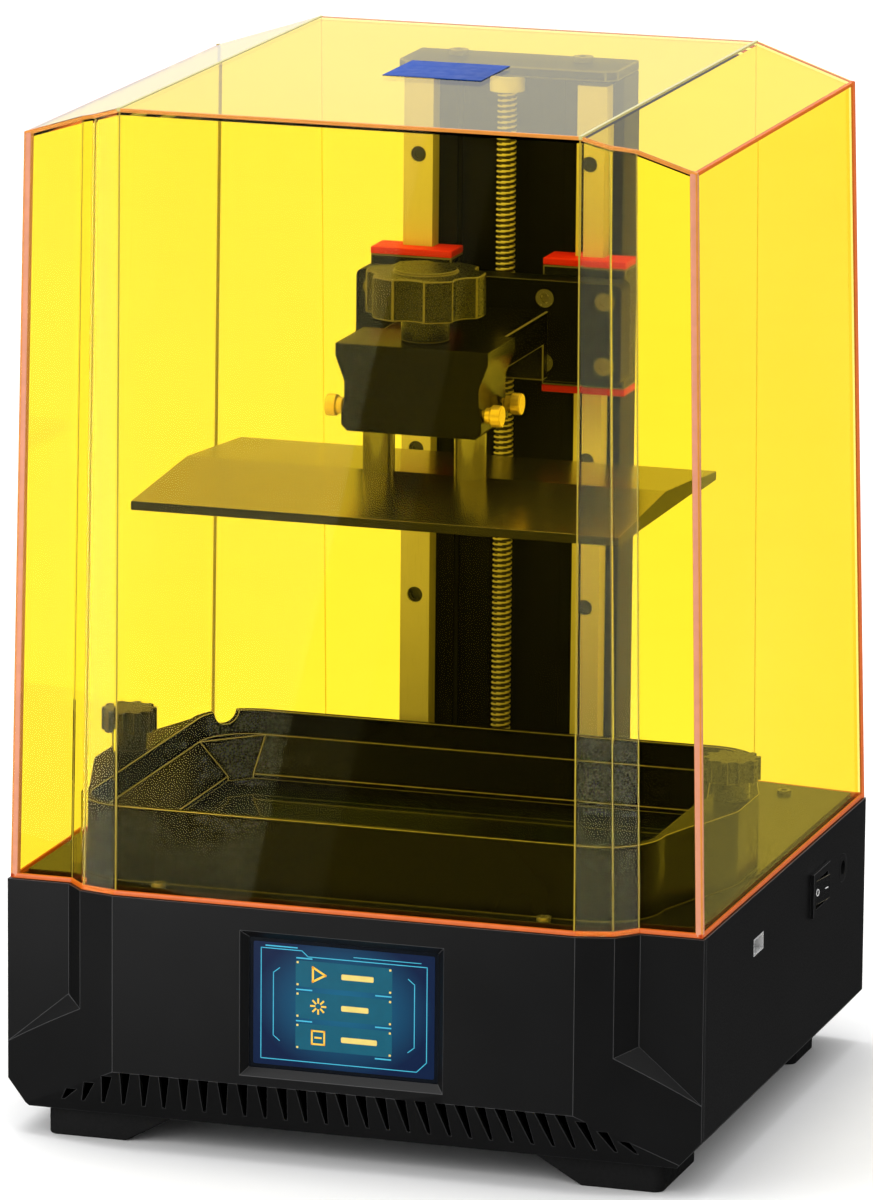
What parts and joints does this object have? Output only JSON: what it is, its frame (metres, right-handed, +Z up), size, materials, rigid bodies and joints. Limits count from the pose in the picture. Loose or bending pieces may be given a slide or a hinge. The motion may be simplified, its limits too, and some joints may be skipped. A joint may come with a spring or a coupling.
{
  "type": "resin printer",
  "caption": "Desktop resin 3D printer: black base with front touchscreen, resin vat, vertical column carrying a build plate, and an amber lift-off hood.",
  "frame": {"origin": "on the table under the middle of the base", "axes": "+Z up, the front with the touchscreen faces -Y, +X to the right seen from the front"},
  "size_m": [0.2842, 0.2572, 0.4097],
  "materials": {
    "base_shell": "satin black paint",
    "deck": "satin black paint",
    "black_metal": "black anodised",
    "foot_rubber": "matt",
    "screen_glass": "gloss",
    "circuit_board": "satin",
    "socket_metal": "bright",
    "black_plastic": "satin",
    "steel_screws": "satin",
    "lens": "clear",
    "vat_metal": "satin dark anodised",
    "column_metal": "black anodised extrusion",
    "rail_steel": "ground",
    "drive_metal": "satin",
    "red_seal": "satin",
    "brass": "turned",
    "platform_metal": "dark sand blasted",
    "cover_acrylic": "clear tinted acrylic",
    "sticker_blue": "printed film"
  },
  "bodies": {
    "base": {"front_fascia": "base_shell", "casing": "base_shell", "bottom_plate": "black_metal", "front_foot_left": "foot_rubber", "front_foot_right": "foot_rubber", "rear_foot_left": "foot_rubber", "rear_foot_right": "foot_rubber", "touchscreen": "screen_glass", "display_board": "circuit_board", "usb_port": "socket_metal", "switch_housing": "black_plastic", "power_jack": "black_plastic", "top_deck": "deck", "deck_screws": "steel_screws", "exposure_screen": "screen_glass", "lamp_heat_sink": "black_metal", "lamp_board": "circuit_board", "lens_plate": "lens", "light_shroud": "black_plastic", "vat_body": "vat_metal", "film_frame": "vat_metal", "release_film": "lens", "z_column": "column_metal", "column_cap": "black_metal", "cap_screws": "steel_screws", "rail_left": "rail_steel", "rail_right": "rail_steel", "rail_screws": "steel_screws", "upper_bearing": "rail_steel", "z_motor": "drive_metal", "motor_bracket": "black_metal", "fan_frame": "black_plastic", "main_board": "circuit_board", "board_standoffs": "drive_metal"},
    "hood": {"cover": "cover_acrylic", "cover_sticker": "sticker_blue"},
    "carriage": {"carriage_plate": "black_metal", "carriage_screws": "steel_screws", "bearing_block_left": "black_metal", "bearing_block_right": "black_metal", "block_seals": "red_seal", "nut_bracket": "drive_metal", "lead_nut": "brass", "platform_arm": "black_metal", "clamp_block": "platform_metal"},
    "drive_line": {"lead_screw": "rail_steel", "shaft_coupling": "drive_metal", "motor_shaft": "rail_steel"},
    "platform": {"build_plate": "platform_metal", "platform_posts": "rail_steel", "levelling_yoke": "platform_metal"},
    "clamp_knob": {"platform_knob": "black_plastic"},
    "left_vat_knob": {"vat_knob_left": "black_plastic"},
    "right_vat_knob": {"vat_knob_right": "black_plastic"},
    "front_left_level_screw": {"level_screw_front_left": "brass"},
    "rear_left_level_screw": {"level_screw_rear_left": "brass"},
    "front_right_level_screw": {"level_screw_front_right": "brass"},
    "rear_right_level_screw": {"level_screw_rear_right": "brass"},
    "rocker": {"power_rocker": "black_plastic"},
    "fan": {"fan_rotor": "black_plastic"}
  },
  "joints": [
    {"name": "hood_lift", "type": "slide", "parent": "base", "child": "hood", "axis": [0, 0, 1], "range_m": [0, 0.32]},
    {"name": "carriage_travel", "type": "slide", "parent": "base", "child": "carriage", "axis": [0, 0, 1], "range_m": [-0.141, 0.062]},
    {"name": "screw_turn", "type": "hinge", "parent": "base", "child": "drive_line", "pos_m": [0, 0.0759, 0.1], "axis": [0, 0, 1], "continuous": true},
    {"name": "plate_level", "type": "slide", "parent": "carriage", "child": "platform", "axis": [0, 0, 1], "range_m": [0, 0.003]},
    {"name": "clamp_knob_turn", "type": "hinge", "parent": "carriage", "child": "clamp_knob", "pos_m": [0, -0.0285, 0.32], "axis": [0, 0, 1], "continuous": true},
    {"name": "left_vat_knob_turn", "type": "hinge", "parent": "base", "child": "left_vat_knob", "pos_m": [-0.1234, -0.0245, 0.14], "axis": [0, 0, 1], "continuous": true},
    {"name": "right_vat_knob_turn", "type": "hinge", "parent": "base", "child": "right_vat_knob", "pos_m": [0.1234, -0.0245, 0.14], "axis": [0, 0, 1], "continuous": true},
    {"name": "front_left_level_turn", "type": "hinge", "parent": "carriage", "child": "front_left_level_screw", "pos_m": [-0.03, -0.0415, 0.283], "axis": [-1, 0, 0], "continuous": true},
    {"name": "rear_left_level_turn", "type": "hinge", "parent": "carriage", "child": "rear_left_level_screw", "pos_m": [-0.03, -0.0155, 0.283], "axis": [-1, 0, 0], "continuous": true},
    {"name": "front_right_level_turn", "type": "hinge", "parent": "carriage", "child": "front_right_level_screw", "pos_m": [0.03, -0.0415, 0.283], "axis": [1, 0, 0], "continuous": true},
    {"name": "rear_right_level_turn", "type": "hinge", "parent": "carriage", "child": "rear_right_level_screw", "pos_m": [0.03, -0.0155, 0.283], "axis": [1, 0, 0], "continuous": true},
    {"name": "rocker_tilt", "type": "hinge", "parent": "base", "child": "rocker", "pos_m": [0.1398, 0.0499, 0.081], "axis": [0, 0, 1], "range_deg": [0, 16]},
    {"name": "fan_spin", "type": "hinge", "parent": "base", "child": "fan", "pos_m": [-0.058, 0.118, 0.0515], "axis": [0, 1, 0], "continuous": true}
  ],
  "couplings": [
    {"joint": "screw_turn", "follows": "carriage_travel", "rad_per_m": -1570.8}
  ]
}
